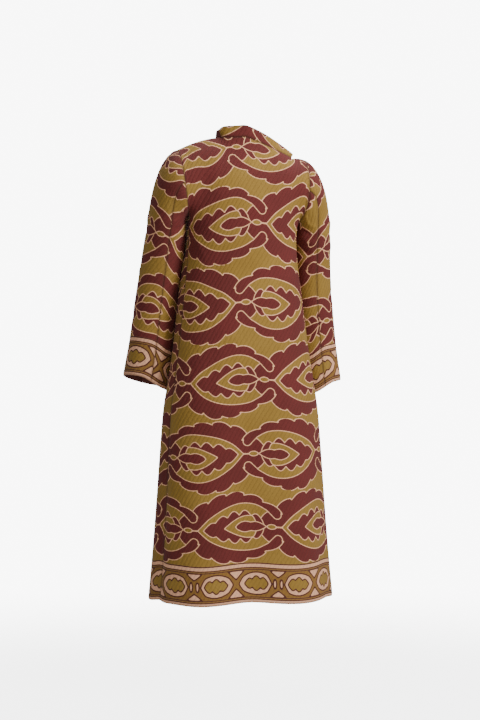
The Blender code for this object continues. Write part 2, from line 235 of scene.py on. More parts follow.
WALL = 4.5
SEAM_GAP = 0.08
HEM_Z = -1285.0
UNDERARM_Z = -235.0
NAPE = (0.0, 62.0, -6.0)
NECK_POINTS = {"left": (64.0, 30.0, -7.0), "right": (-142.0, 26.0, -52.0)}
SHOULDER_POINTS = {"left": (184.0, 8.0, -50.0), "right": (-184.0, 8.0, -50.0)}
NECK_SHARES = {"left": 0.38, "right": 0.62}
NECKLINE_SAG = {"left": 3.0, "right": 18.0}
SHOULDER_CREST = 0.05
RELAX_ROUNDS = 12
SHOULDER_LEAN = 0.045
BAND_WIDTH = 32.0
BAND_AT_NECK = {"left": (0.26, -0.18, 0.93), "right": (-0.42, -0.80, 0.42)}
BACK_ROUNDNESS = 0.84
FRONT_ROUNDNESS = 1.2
LOW_ROWS = 44
HIGH_ROWS = 12
NECK_COLUMNS = {"left": 5, "right": 9}
SHOULDER_COLUMNS = {"left": 12, "right": 8}
BAND_COLUMNS = 2
CAP_ROWS = 10
ARM_ROWS = 18
BACK_SLEEVE_SEAM = 6
FRONT_SLEEVE_SEAM = 18

BODY_RINGS = {
    "height": (-1285, -1156, -1016, -876, -750, -680, -596, -456, -340, -235),
    "half_width": (262, 250, 239, 229, 218, 207, 193, 175, 160, 154),
    "back_depth": (184, 174, 165, 156, 149, 143, 136, 126, 122, 126),
    "front_depth": (178, 168, 159, 150, 143, 137, 131, 125, 124, 126),
    "seam_angle": (17, 17, 17, 16, 16, 16, 15, 13, 10, 8),
    "front_edge": (74, 71, 68, 65, 62, 60, 58, 55, 53, 54),
}
SLEEVE_RINGS = {
    "height": (-262, -330, -456, -596, -690),
    "centre_x": (211, 214.5, 225, 239.5, 253.5),
    "centre_y": (-6, -28, -54, -68, -74),
    "half_width": (52, 55.5, 60, 62.5, 64),
    "half_depth": (67, 66, 64, 64, 66),
    "tilt": (6, 7, 8, 10, 14),
}
FOLDS = {
    "angle": (18, 56, 86, 117, 146, 196, 232, 252, 288, 322),
    "spread": (8, 15, 13, 16, 12, 14, 10, 9, 10, 14),
    "depth": (-11, 13, -12, 10, -8, 10, -9, 8, 7, -9),
    "top": (-520, -480, -380, -450, -600, -560, -500, -420, -420, -560),
}
SLEEVE_CREASES = {
    "angle": (150, 60, 300, 200, 110),
    "spread": (30, 34, 32, 28, 30),
    "depth": (-1, -4, -5, -3, 4),
    "height": (-330, -420, -400, -520, -600),
    "reach": (60, 70, 75, 70, 70),
}


def smooth_column(table, column, height):
    """The column's value at each height, on a smooth curve through the table's rows."""
    order = np.argsort(table["height"])
    knots = np.asarray(table["height"], float)[order]
    values = np.asarray(table[column], float)[order]
    slopes = np.gradient(values, knots)
    height = np.clip(height, knots[0], knots[-1])
    upper = np.clip(np.searchsorted(knots, height), 1, len(knots) - 1)
    span = knots[upper] - knots[upper - 1]
    t = (height - knots[upper - 1]) / span
    return (
        (2 * t**3 - 3 * t**2 + 1) * values[upper - 1]
        + (t**3 - 2 * t**2 + t) * span * slopes[upper - 1]
        + (3 * t**2 - 2 * t**3) * values[upper]
        + (t**3 - t**2) * span * slopes[upper]
    )


def hermite(start, start_pull, end, end_pull, t):
    """A curve from start to end that leaves and arrives along the two pulls."""
    return (
        (2 * t**3 - 3 * t**2 + 1) * start
        + (t**3 - 2 * t**2 + t) * start_pull
        + (3 * t**2 - 2 * t**3) * end
        + (t**3 - t**2) * end_pull
    )


def smooth_step(t):
    t = np.clip(t, 0.0, 1.0)
    return t * t * (3 - 2 * t)


def ring_stretch(height, first_angle, last_angle, shares):
    """Points at the given shares of the arc along one body ring, between two angles in degrees."""
    angles = np.radians(np.linspace(first_angle, last_angle, 721))
    behind = np.sin(angles) > 0
    depth = np.where(
        behind,
        smooth_column(BODY_RINGS, "back_depth", height),
        smooth_column(BODY_RINGS, "front_depth", height),
    )
    power = np.where(behind, BACK_ROUNDNESS, FRONT_ROUNDNESS)
    half_width = smooth_column(BODY_RINGS, "half_width", height)
    x = half_width * np.sign(np.cos(angles)) * np.abs(np.cos(angles)) ** power
    y = depth * np.sign(np.sin(angles)) * np.abs(np.sin(angles)) ** power
    arc = np.concatenate([[0], np.cumsum(np.hypot(np.diff(x), np.diff(y)))])
    wanted = np.asarray(shares) * arc[-1]
    flat = np.stack([np.interp(wanted, arc, x), np.interp(wanted, arc, y)], -1)
    return np.concatenate([flat, np.full((len(flat), 1), height)], -1)


def front_angle(height):
    """Where on its ring the left front panel ends, in degrees."""
    edge = smooth_column(BODY_RINGS, "front_edge", height)
    half_width = smooth_column(BODY_RINGS, "half_width", height)
    return -math.degrees(math.acos((edge / half_width) ** (1 / FRONT_ROUNDNESS)))


def back_shares():
    """Where the back's columns lie across it, from -1 at the coat's left to 1 at the right."""
    neck, shoulder = NECK_COLUMNS, SHOULDER_COLUMNS
    return np.concatenate(
        [
            np.linspace(-1, -NECK_SHARES["left"], shoulder["left"] + 1)[:-1],
            np.linspace(-NECK_SHARES["left"], 0, neck["left"] + 1)[:-1],
            np.linspace(0, NECK_SHARES["right"], neck["right"] + 1)[:-1],
            np.linspace(NECK_SHARES["right"], 1, shoulder["right"] + 1),
        ]
    )


def shoulder_seam(hand, shares):
    """Points along one shoulder seam, from the neck point to the shoulder point."""
    neck, shoulder = np.array(NECK_POINTS[hand]), np.array(SHOULDER_POINTS[hand])
    shares = np.asarray(shares, float)[:, None]
    crest = SHOULDER_CREST * np.linalg.norm(shoulder - neck) * np.sin(np.pi * shares)
    return neck + (shoulder - neck) * shares + crest * np.array([0.0, 0.0, 1.0])


def back_top_row(shares):
    """The back's top edge from the coat's left to right: shoulder seam, neckline, shoulder seam."""
    nape = np.array(NAPE)
    points = []
    for share in shares:
        hand = "right" if share > 0 else "left"
        neck = np.array(NECK_POINTS[hand])
        reach = NECK_SHARES[hand]
        if abs(share) > reach:
            points.append(shoulder_seam(hand, [(abs(share) - reach) / (1 - reach)])[0])
            continue
        turn = abs(share) / reach * math.pi / 2
        centre = np.array([0.0, neck[1], neck[2]])
        sag = np.array([0.0, 0.0, NECKLINE_SAG[hand]])
        across = np.array([neck[0], 0.0, 0.0])
        rise = nape - centre
        points.append(centre + across * math.sin(turn) + rise * math.cos(turn) - sag * math.sin(2 * turn))
    return np.array(points)


def back_rows():
    """The back panel's points, rows from the hem up and columns from the coat's left to right."""
    shares = back_shares()
    rows = []
    for height in np.linspace(HEM_Z, UNDERARM_Z, LOW_ROWS + 1):
        seam = smooth_column(BODY_RINGS, "seam_angle", height)
        rows.append(ring_stretch(height, seam, 180 - seam, (shares + 1) / 2))
    base, top = rows[-1], back_top_row(shares)
    side = np.abs(shares)[:, None]
    hand = -np.sign(shares)[:, None]
    edge = smooth_step((side - 0.62) / 0.38)
    over = smooth_step((side - 0.15) / 0.4)
    rise = np.array([0.0, 14.0, 225.0])
    scoop = np.concatenate([72 * hand, np.full_like(side, 300), np.full_like(side, 45)], 1)
    start_pull = rise + (scoop - rise) * edge
    nape_pull = np.array([0.0, -115.0, 190.0])
    shoulder_pull = np.array([0.0, -270.0, 75.0])
    end_pull = nape_pull + (shoulder_pull - nape_pull) * over
    for t in np.linspace(0, 1, HIGH_ROWS + 1)[1:]:
        rows.append(hermite(base, start_pull, top, end_pull, t))
    return np.array(rows)


def front_rows(hand):
    """One front's points, rows from the hem up and columns from the front edge to the side."""
    shares = np.linspace(0, 1, SHOULDER_COLUMNS[hand] + 1)
    sign = np.array([1.0 if hand == "left" else -1.0, 1.0, 1.0])
    rows = []
    for height in np.linspace(HEM_Z, UNDERARM_Z, LOW_ROWS + 1):
        seam = smooth_column(BODY_RINGS, "seam_angle", height)
        rows.append(ring_stretch(height, front_angle(height), seam, shares) * sign)
    base = rows[-1]
    side = shares[:, None]
    top = shoulder_seam(hand, shares)
    edge = smooth_step((side - 0.3) / 0.7)
    rise = np.array([6.0, -6.0, 225.0])
    scoop = np.array([-4.0, -330.0, 60.0])
    over_neck = np.array([14.0, 250.0, 105.0])
    over_shoulder = np.array([14.0, 306.0, 85.0])
    start_pull = (rise + (scoop - rise) * edge) * sign
    end_pull = (over_neck + (over_shoulder - over_neck) * side) * sign
    for t in np.linspace(0, 1, HIGH_ROWS + 1)[1:]:
        rows.append(hermite(base, start_pull, top, end_pull, t))
    return np.array(rows)


def band_direction(hand, share_up):
    """Which way a front band leaves the front's edge: flat to the middle, and standing at the neck."""
    flat = np.array([-1.0 if hand == "left" else 1.0, 0.0, 0.0])
    standing = np.array(BAND_AT_NECK[hand])
    way = flat + (standing - flat) * smooth_step(share_up)
    return way / np.linalg.norm(way)


def front_band_rows(hand, front):
    """One front band, columns from its free edge to the seam."""
    across = np.linspace(BAND_WIDTH, 0, BAND_COLUMNS + 1)[:, None]
    share_up = np.concatenate([np.zeros(LOW_ROWS), np.linspace(0, 1, HIGH_ROWS + 1)])
    seam = front[:, 0]
    return np.array([p + across * band_direction(hand, u) for p, u in zip(seam, share_up)])


def collar_rows(back):
    """The collar, rows from the neck seam up and columns from the coat's left to right."""
    first = SHOULDER_COLUMNS["left"]
    left, right = NECK_COLUMNS["left"], NECK_COLUMNS["right"]
    seam = back[-1, first : first + left + right + 1]
    at_nape = np.array([0.0, 0.12, 0.99])
    ways = []
    for column in range(left + right + 1):
        hand = "left" if column < left else "right"
        share = (left - column) / left if hand == "left" else (column - left) / right
        way = at_nape + (band_direction(hand, 1.0) - at_nape) * smooth_step(share**0.6)
        ways.append(way / np.linalg.norm(way))
    up = np.linspace(0, BAND_WIDTH, BAND_COLUMNS + 1)
    return np.array([seam + u * np.array(ways) for u in up])


def relaxed(rows):
    """Evens out the inside of a panel above the underarm's level, with its edges left in place."""
    rows = rows.copy()
    first = LOW_ROWS - 4
    for _ in range(RELAX_ROUNDS):
        inner = rows[first:-1, 1:-1]
        around = rows[first - 1 : -2, 1:-1] + rows[first + 1 :, 1:-1]
        around = around + rows[first:-1, :-2] + rows[first:-1, 2:]
        rows[first:-1, 1:-1] = inner * 0.5 + around * 0.125
    return rows


def armhole(back, front):
    """The left armhole from the shoulder point down the back to the underarm and up the front."""
    return np.concatenate([back[LOW_ROWS:, 0][::-1], front[LOW_ROWS:, -1][1:]])


def lean(points, hangs_from_shoulder):
    """Carries the left side higher and the right side lower, from the waist up or for a whole sleeve."""
    reach = np.clip(points[..., 0], SHOULDER_POINTS["right"][0], SHOULDER_POINTS["left"][0])
    share = 1.0 if hangs_from_shoulder else smooth_step((points[..., 2] + 620) / 380)
    moved = points.copy()
    moved[..., 2] += SHOULDER_LEAN * reach * share
    return moved


def sleeve_ring(height, angles):
    """One ring of the left sleeve. Angles go from the outside by the back."""
    column = {name: smooth_column(SLEEVE_RINGS, name, height) for name in SLEEVE_RINGS}
    out = column["half_width"] * np.cos(angles)
    back = column["half_depth"] * np.sin(angles)
    lift = out * math.tan(math.radians(column["tilt"])) + back * math.tan(math.radians(5))
    centre = np.array([column["centre_x"], column["centre_y"], height])
    return centre + np.stack([out, back, lift], -1)


def crease_sleeve(points, angles):
    """Pushes a sleeve ring's points in or out where the creases of the sleeve run."""
    centre = points.mean(0)
    outward = points - centre
    outward /= np.linalg.norm(outward, axis=1)[:, None]
    push = np.zeros(len(points))
    degrees = np.degrees(angles)
    for angle, spread, depth, height, reach in zip(*SLEEVE_CREASES.values()):
        apart = (degrees - angle + 180) % 360 - 180
        along = (centre[2] - height) / reach
        push += depth * np.exp(-((apart / spread) ** 2) - along**2)
    return points + outward * push[:, None]


def sleeve_rows(hole):
    """The left sleeve, rows from the cuff's edge up to the armhole, columns round from the outside."""
    angles = np.linspace(0, 2 * math.pi, len(hole))
    top_ring = sleeve_ring(SLEEVE_RINGS["height"][0], angles)
    outside = (1 + np.cos(angles))[:, None] / 2
    leave_top = np.array([165.0, 0.0, -70.0])
    leave_under = np.array([34.0, 0.0, -16.0])
    start_pull = leave_under + (leave_top - leave_under) * outside
    start_pull[:, 1] += 26 * np.sin(angles)
    drop = np.linalg.norm(top_ring - hole, axis=1)[:, None]
    end_pull = np.array([0.10, -0.10, -1.0]) * drop * 1.05
    cap = [hermite(hole, start_pull, top_ring, end_pull, t) for t in np.linspace(0, 1, CAP_ROWS + 1)]
    first, last = SLEEVE_RINGS["height"][0], SLEEVE_RINGS["height"][-1]
    arm = [
        crease_sleeve(sleeve_ring(height, angles), angles)
        for height in np.linspace(first, last, ARM_ROWS + 1)[1:]
    ]
    return np.array((cap + arm)[::-1])


def drape(points):
    """Moves the body's points in and out where its folds run, more towards the hem."""
    height = points[..., 2]
    half_width = smooth_column(BODY_RINGS, "half_width", height)
    depth = smooth_column(BODY_RINGS, "back_depth", height)
    across, through = points[..., 0] / half_width, points[..., 1] / depth
    degrees = np.degrees(np.arctan2(through, across)) % 360
    push = np.zeros_like(height)
    for angle, spread, rise, top in zip(*FOLDS.values()):
        apart = (degrees - angle + 180) % 360 - 180
        push += rise * np.exp(-((apart / spread) ** 2)) * smooth_step((top - height) / (top - HEM_Z))
    way = np.stack([across / half_width, through / depth, np.zeros_like(height)], -1)
    way /= np.maximum(np.linalg.norm(way, axis=-1, keepdims=True), 1e-9)
    moved = points + way * push[..., None]
    moved[..., 2] -= 0.35 * push * smooth_step((-900 - height) / 300)
    return moved


# ---------------------------------------------------------------------------------------------
# From the CAD's points to cloth: finer grids, small creases, flat coordinates and quilting
# ---------------------------------------------------------------------------------------------

CHANNEL = 10.6
CHANNEL_ANGLE = math.radians(58)
QUILT_DEPTH = 0.9

# Small creases: place and level of the middle on the flat cloth, turn, length, width and rise.
CREASES = {
    "back": (
        (177, 1062, 88, 62, 5, -3.0),
        (187, 1070, 86, 58, 6, 2.6),
        (150, 1010, 62, 46, 8, 1.6),
        (-176, 1040, 94, 60, 6, -2.4),
        (-150, 985, 118, 50, 9, 1.6),
        (-60, 930, 74, 130, 22, 1.5),
        (80, 700, 96, 220, 26, 1.6),
        (-120, 640, 84, 200, 24, -1.6),
    ),
    "sleeve_left_top": (
        (-30, 430, 24, 44, 8, 1.8),
        (-24, 395, 20, 44, 9, -1.6),
        (-40, 300, -18, 50, 9, 1.6),
        (10, 170, 12, 60, 12, -1.4),
    ),
    "sleeve_left_under": (
        (-62, 470, 34, 40, 6, 2.2),
        (-58, 446, 30, 40, 6, -2.2),
        (-60, 418, 26, 40, 7, 2.2),
        (-58, 388, 22, 40, 7, -1.8),
        (-50, 300, -20, 44, 9, 1.8),
    ),
    "sleeve_right_top": (
        (-30, 445, -30, 40, 7, 2.0),
        (-26, 415, -26, 44, 8, -2.0),
        (-30, 380, -20, 46, 9, 1.8),
        (-10, 250, 16, 56, 11, -1.5),
    ),
    "sleeve_right_under": (
        (60, 478, -36, 42, 6, 2.8),
        (56, 454, -33, 42, 6, -2.6),
        (60, 428, -30, 42, 7, 2.8),
        (56, 400, -26, 42, 7, -2.4),
        (56, 372, -20, 42, 8, 2.0),
        (50, 300, 18, 46, 9, -1.6),
    ),
}


def finer(points, axis, steps, kink=None):
    """A smooth curve through the grid's points along one axis, with steps pieces between each two."""
    points = np.moveaxis(points, axis, 0)
    slopes = np.gradient(points, axis=0)
    if kink is not None:
        slopes[kink] = points[kink] - points[kink - 1]
    t = (np.arange(steps) / steps).reshape((-1,) + (1,) * (points.ndim - 1))
    pieces = [
        hermite(a, m, b, n, t) for a, b, m, n in zip(points[:-1], points[1:], slopes[:-1], slopes[1:])
    ]
    return np.moveaxis(np.concatenate(pieces + [points[-1:]]), 0, axis)


def refined(rows, row_steps, column_steps, kink=None):
    return finer(finer(rows, 0, row_steps, kink), 1, column_steps)


def blocks_refined(row, breaks, steps):
    """One row refined block by block, so that it turns sharply at the breaks."""
    ends = [0, *breaks, len(row) - 1]
    parts = [finer(row[a : b + 1], 0, steps) for a, b in zip(ends[:-1], ends[1:])]
    return np.concatenate([p[:-1] for p in parts[:-1]] + [parts[-1]])


def eased_to(rows, edge, reach):
    """Brings the last row onto a given edge, and the rows before it part of the way."""
    share = smooth_step(1 - np.arange(len(rows))[::-1] / reach)[:, None, None]
    return rows + share * (edge - rows[-1])


def lengths_along(rows, axis):
    """How far along its row or column each point is, from the first."""
    step = np.linalg.norm(np.diff(rows, axis=axis), axis=-1)
    return np.concatenate([np.zeros_like(np.take(step, [0], axis)), np.cumsum(step, axis)], axis)


def flat_up(rows):
    """How far above the panel's lower edge each point lies, measured square to the rows."""
    along = np.gradient(rows, axis=1)
    along /= np.maximum(np.linalg.norm(along, axis=-1, keepdims=True), 1e-9)
    step = np.diff(rows, axis=0)
    step = step - (step * along[:-1]).sum(-1, keepdims=True) * along[:-1]
    rise = np.linalg.norm(step, axis=-1)
    return np.concatenate([np.zeros_like(rise[:1]), np.cumsum(rise, 0)])


def outward_normals(rows):
    normals = np.cross(np.gradient(rows, axis=1), np.gradient(rows, axis=0))
    return normals / np.maximum(np.linalg.norm(normals, axis=-1, keepdims=True), 1e-9)


def edge_mask(rows):
    mask = np.zeros(rows.shape[:2], bool)
    mask[[0, -1], :] = True
    mask[:, [0, -1]] = True
    return mask


def share_seam_normals(panels, normals):
    """Where panels meet, their walls end in one common plane, so that they don't cut into each other."""
    masks = {name: edge_mask(rows) for name, rows in panels.items()}
    points = np.concatenate([panels[n][masks[n]] for n in panels])
    ways = np.concatenate([normals[n][masks[n]] for n in panels])
    tree = kdtree.KDTree(len(points))
    for index, point in enumerate(points):
        tree.insert(point, index)
    tree.balance()
    shared = np.array([ways[[i for _, i, _ in tree.find_range(p, 3.2)]].sum(0) for p in points])
    shared /= np.maximum(np.linalg.norm(shared, axis=1)[:, None], 1e-9)
    start = 0
    for name in panels:
        count = masks[name].sum()
        normals[name][masks[name]] = shared[start : start + count]
        start += count


def inset_edges(rows):
    """Draws a panel in from its seam lines by half the seam gap."""
    drawn = rows.copy()
    for axis in (0, 1):
        along = np.moveaxis(drawn, axis, 0)
        for edge, inside in ((0, 1), (-1, -2)):
            step = along[inside] - along[edge]
            step /= np.linalg.norm(step, axis=1)[:, None]
            along[edge] += step * SEAM_GAP / 2
    return drawn


def pressed_flat(rows):
    """1 where the sleeve and the body's side lie against each other, so that nothing rises there."""
    x, y, z = np.abs(rows[..., 0]), rows[..., 1], rows[..., 2]
    beside = smooth_step((x - 110) / 15) * smooth_step((225 - x) / 12)
    beside = beside * smooth_step((y + 135) / 15) * smooth_step((42 - y) / 12)
    return beside * smooth_step((UNDERARM_Z + 30 - z) / 15) * smooth_step((z + 735) / 20)


def quilted(rows, across, up):
    """How far the outer face stands out or in: channels up to the right, sunk at every seam and edge."""
    phase = across * math.sin(CHANNEL_ANGLE) - up * math.cos(CHANNEL_ANGLE)
    crown = np.abs(np.sin(math.pi * phase / CHANNEL)) ** 0.8
    height = QUILT_DEPTH * (crown - 0.45) * (1 - 0.55 * pressed_flat(rows))
    height -= 0.5 * QUILT_DEPTH * pressed_flat(rows)
    edge = near_edge(across, up)
    return height * (1 - edge) - 1.3 * edge**2


def near_edge(across, up):
    """1 on the panel's seams and edges and 0 a little way in."""
    to_side = np.minimum(across - across.min(1, keepdims=True), across.max(1, keepdims=True) - across)
    to_end = np.minimum(up - up.min(0, keepdims=True), up.max(0, keepdims=True) - up)
    return np.exp(-((np.minimum(to_side, to_end) / 4.2) ** 2))


def creased(name, across, up):
    """How far the panel's own small creases stand out or in. They end before its seams."""
    height = np.zeros_like(across)
    for place, level, turn, length, width, rise in CREASES.get(name, ()):
        turn = math.radians(turn)
        along = (across - place) * math.cos(turn) + (up - level) * math.sin(turn)
        beside = (up - level) * math.cos(turn) - (across - place) * math.sin(turn)
        height += rise * np.exp(-((along / length) ** 2) - (beside / width) ** 2)
    return height * (1 - near_edge(across, up))


def corner_turned(name, rows):
    """Lets the standing collar's left end slope down to the front band instead of ending in a corner."""
    if name not in ("collar", "front_band_left"):
        return rows
    corner = panels["collar"][-1, 0] if panels["collar"][-1, 0, 0] > 0 else panels["collar"][-1, -1]
    near = np.exp(-(((rows - corner) ** 2).sum(-1, keepdims=True) / 16**2))
    return rows + near * np.array([-2.0, 0.0, -11.0])


def cuff_hung(name, rows):
    """Lets the back of each cuff hang a little lower towards the body."""
    if not name.startswith("sleeve"):
        return rows
    x, y, z = np.abs(rows[..., 0]), rows[..., 1], rows[..., 2]
    moved = rows.copy()
    low, behind, inward = (-z - 560) / 120, (y + 95) / 45, (285 - x) / 65
    moved[..., 2] -= 17 * smooth_step(low) * smooth_step(behind) * smooth_step(inward)
    return moved


def nestled(name, rows):
    """Swells the left sleeve behind and the body before the line where they touch, so that no light shows."""
    if name not in ("back", "front_left", "sleeve_left_top", "sleeve_left_under"):
        return rows
    x, y, z = np.moveaxis(rows, -1, 0)
    touch = np.interp(-z, (250, 300, 400, 460, 550, 700), (-2, -9, -20, -26, -30, -34))
    front = np.interp(-z, (360, 400, 460, 520, 600), (-24, -28, -36, -42, -50))
    bend = np.interp(-z, (320, 355, 480, 560, 650), (0, 3.2, 2.8, 1.5, 0))
    bend = bend * (np.exp(-(((y + 10) / 9) ** 2)) - np.exp(-(((y - front) / 9) ** 2)))
    if name.startswith("sleeve"):
        rise = np.interp(-z, (225, 265, 300, 330, 400, 450, 600, 720), (0, -3, -5.5, -6.5, -4.5, -3, -1.2, 0))
        rise = (rise * np.exp(-(((y - touch - 19) / 12) ** 2)) + bend) * smooth_step((205 - x) / 25)
    else:
        rise = np.interp(-z, (215, 262, 300, 335, 360, 400, 450, 600, 720), (0, 6.5, 9.5, 11, 9.5, 6.5, 5, 3, 0))
        rise = (rise * np.exp(-(((y - touch + 25) / 14) ** 2)) + bend) * smooth_step((x - 100) / 30)
    moved = rows.copy()
    moved[..., 0] += rise
    return moved


def stations(count, step):
    """Every step-th grid line, and always the last."""
    return sorted(set(range(0, count, step)) | {count - 1})


def wall_faces(rows, columns, inner_rows, inner_columns):
    """Faces of a closed wall: a fine outer grid, a coarse inner grid, and strips that join their edges."""
    base = rows * columns
    outer = np.arange(base).reshape(rows, columns)
    inner = base + np.arange(len(inner_rows) * len(inner_columns)).reshape(len(inner_rows), -1)
    a, b, c, d = outer[:-1, :-1], outer[:-1, 1:], outer[1:, 1:], outer[1:, :-1]
    faces = [np.stack([a, b, c], -1).reshape(-1, 3), np.stack([a, c, d], -1).reshape(-1, 3)]
    a, b, c, d = inner[:-1, :-1], inner[:-1, 1:], inner[1:, 1:], inner[1:, :-1]
    faces += [np.stack([a, c, b], -1).reshape(-1, 3), np.stack([a, d, c], -1).reshape(-1, 3)]

    def strip(fine, places, coarse, flip):
        made = []
        for k in range(len(coarse) - 1):
            first, last = places[k], places[k + 1]
            middle = (first + last) // 2
            made += [(coarse[k], fine[m + 1], fine[m]) for m in range(first, middle)]
            made.append((coarse[k], coarse[k + 1], fine[middle]))
            made += [(coarse[k + 1], fine[m + 1], fine[m]) for m in range(middle, last)]
        made = np.array(made)
        faces.append(made[:, ::-1] if flip else made)

    strip(outer[0], inner_columns, inner[0], False)
    strip(outer[-1], inner_columns, inner[-1], True)
    strip(outer[:, 0], inner_rows, inner[:, 0], True)
    strip(outer[:, -1], inner_rows, inner[:, -1], False)
    return np.concatenate(faces)


def add_panel(name, rows, normals, layout, material):
    """One cloth panel: its quilted outer face, its plain inner face, and what its material reads."""
    column, low_edge, shift, turn, slant, tilt, sunk, border_shift, coarser = layout
    across = lengths_along(rows, 1)
    across = across - across[:, [column]]
    up = flat_up(rows) + low_edge
    drawn = inset_edges(rows)
    outside = drawn + normals * (quilted(rows, across, up) + creased(name, across, up))[..., None]
    inner_rows = stations(rows.shape[0], coarser[0])
    inner_columns = stations(rows.shape[1], coarser[1])
    picked = np.ix_(inner_rows, inner_columns)
    inside = (drawn - normals * WALL)[picked]
    points = np.concatenate([outside.reshape(-1, 3), inside.reshape(-1, 3)]) * MM
    faces = wall_faces(*rows.shape[:2], inner_rows, inner_columns)
    mesh = bpy.data.meshes.new(name)
    mesh.from_pydata(points, [], faces.tolist())
    mesh.materials.append(material)

    flat = np.stack([across, up], -1)
    places = np.concatenate([flat.reshape(-1, 2), flat[picked].reshape(-1, 2)])
    corners = np.empty(len(mesh.loops), np.int32)
    mesh.loops.foreach_get("vertex_index", corners)
    mesh.uv_layers.new(name="flat").data.foreach_set("uv", (places[corners] * MM).ravel())
    fields = dyed(places[:, 0], places[:, 1], shift, turn, slant, tilt, sunk, border_shift)
    lining = np.repeat((0.0, 1.0), (outside.size // 3, inside.size // 3))
    # seam: how near each point lies to its panel's seams and edges, where the figured material paints shade.
    seam = np.concatenate([near_edge(across, up).ravel(), np.zeros(inside.size // 3)])
    for label, values in zip((*SHAPES, "plait", "bud", "lining", "seam"), (*fields, lining, seam)):
        mesh.attributes.new(label, "FLOAT", "POINT").data.foreach_set("value", values.astype(np.float32))
    mesh.polygons.foreach_set("use_smooth", np.ones(len(mesh.polygons), bool))
    panel = bpy.data.objects.new("cloth_" + name, mesh)
    bpy.context.scene.collection.objects.link(panel)
    size = (float(np.ptp(across)) * MM, float(np.ptp(up)) * MM)
    cells = np.linalg.norm(np.cross(rows[1:, :-1] - rows[:-1, :-1], rows[:-1, 1:] - rows[:-1, :-1]), axis=-1)
    return panel, size, float(cells.sum()) * MM * MM


# ---------------------------------------------------------------------------------------------
# Materials
# ---------------------------------------------------------------------------------------------


class Term:
    """A number in a material's nodes. Python's own operators on it add the nodes."""

    def __init__(self, socket):
        self.socket = socket

    def __add__(self, other):
        return worked("ADD", self, other)

    def __sub__(self, other):
        return worked("SUBTRACT", self, other)

    def __rsub__(self, other):
        return worked("SUBTRACT", other, self)

    def __mul__(self, other):
        return worked("MULTIPLY", self, other)

    def __truediv__(self, other):
        return worked("DIVIDE", self, other)

    def __pow__(self, other):
        return worked("POWER", self, other)

    __radd__ = __add__
    __rmul__ = __mul__


def worked(operation, *terms):
    tree = next(t.socket.id_data for t in terms if isinstance(t, Term))
    node = tree.nodes.new("ShaderNodeMath")
    node.operation = operation
    for slot, term in zip(node.inputs, terms):
        if isinstance(term, Term):
            tree.links.new(term.socket, slot)
        else:
            slot.default_value = term
    return Term(node.outputs[0])


def step_between(term, low, high):
    """0 below low, 1 above high and smooth between."""
    tree = term.socket.id_data
    node = tree.nodes.new("ShaderNodeMapRange")
    node.interpolation_type = "SMOOTHSTEP"
    tree.links.new(term.socket, node.inputs["Value"])
    node.inputs["From Min"].default_value = low
    node.inputs["From Max"].default_value = high
    return Term(node.outputs["Result"])


def noise(tree, place, scale, detail=2.0, stretch=(1, 1, 1)):
    mapping = tree.nodes.new("ShaderNodeMapping")
    mapping.inputs["Scale"].default_value = stretch
    tree.links.new(place, mapping.inputs["Vector"])
    node = tree.nodes.new("ShaderNodeTexNoise")
    node.inputs["Scale"].default_value = scale
    node.inputs["Detail"].default_value = detail
    tree.links.new(mapping.outputs["Vector"], node.inputs["Vector"])
    return Term(node.outputs[0])


def mixed(tree, share, under, over):
    """A colour part of the way from under to over. Each is a colour or a colour socket."""
    node = tree.nodes.new("ShaderNodeMix")
    node.data_type = "RGBA"
    tree.links.new(share.socket, node.inputs[0])
    for slot, colour in ((node.inputs[6], under), (node.inputs[7], over)):
        if isinstance(colour, tuple):
            slot.default_value = (*colour, 1.0)
        else:
            tree.links.new(colour, slot)
    return node.outputs[2]


def cloth_basis(name):
    """A new material with what every cloth here shares: its shader and its place on the flat cloth."""
    material = bpy.data.materials.new(name)
    material.use_nodes = True
    tree = material.node_tree
    shader = tree.nodes["Principled BSDF"]
    shader.inputs["Sheen Weight"].default_value = 0.06
    shader.inputs["Sheen Roughness"].default_value = 0.45
    shader.inputs["Specular IOR Level"].default_value = 0.3
    uv = tree.nodes.new("ShaderNodeUVMap")
    uv.uv_map = "flat"
    split = tree.nodes.new("ShaderNodeSeparateXYZ")
    tree.links.new(uv.outputs["UV"], split.inputs[0])
    across, up = Term(split.outputs[0]) * 1000, Term(split.outputs[1]) * 1000
    return material, tree, shader, uv.outputs["UV"], across, up


def attribute(tree, name):
    node = tree.nodes.new("ShaderNodeAttribute")
    node.attribute_name = name
    return Term(node.outputs["Fac"])


def cloth_relief(tree, shader, uv, across, up, cord):
    """Stitched channels, their stitches and pulled threads, the weave, and a cord that stands up a little."""
    phase = across * (math.sin(CHANNEL_ANGLE) / CHANNEL) - up * (math.cos(CHANNEL_ANGLE) / CHANNEL)
    along = across * math.cos(CHANNEL_ANGLE) + up * math.sin(CHANNEL_ANGLE)
    valley = worked("ABSOLUTE", worked("SINE", phase * math.pi))
    groove = 1 - step_between(valley, 0.0, 0.32)
    stitch = step_between(worked("SINE", along * (2 * math.pi / 4.6)), -0.5, 0.3)
    pulled = noise(tree, uv, 130, 2, (1.0, 0.5, 1))
    weave = worked("SINE", across * (2 * math.pi / 1.3)) * worked("SINE", up * (2 * math.pi / 1.1))
    slub = noise(tree, uv, 700, 2, (0.2, 1.0, 1))
    height = 0.8 * pulled - groove * (0.30 + 0.30 * stitch) + 0.05 * weave + 0.25 * slub + 0.35 * cord
    bump = tree.nodes.new("ShaderNodeBump")
    bump.inputs["Strength"].default_value = 0.8
    bump.inputs["Distance"].default_value = 0.0013
    tree.links.new(height.socket, bump.inputs["Height"])
    tree.links.new(bump.outputs["Normal"], shader.inputs["Normal"])
    return groove, slub


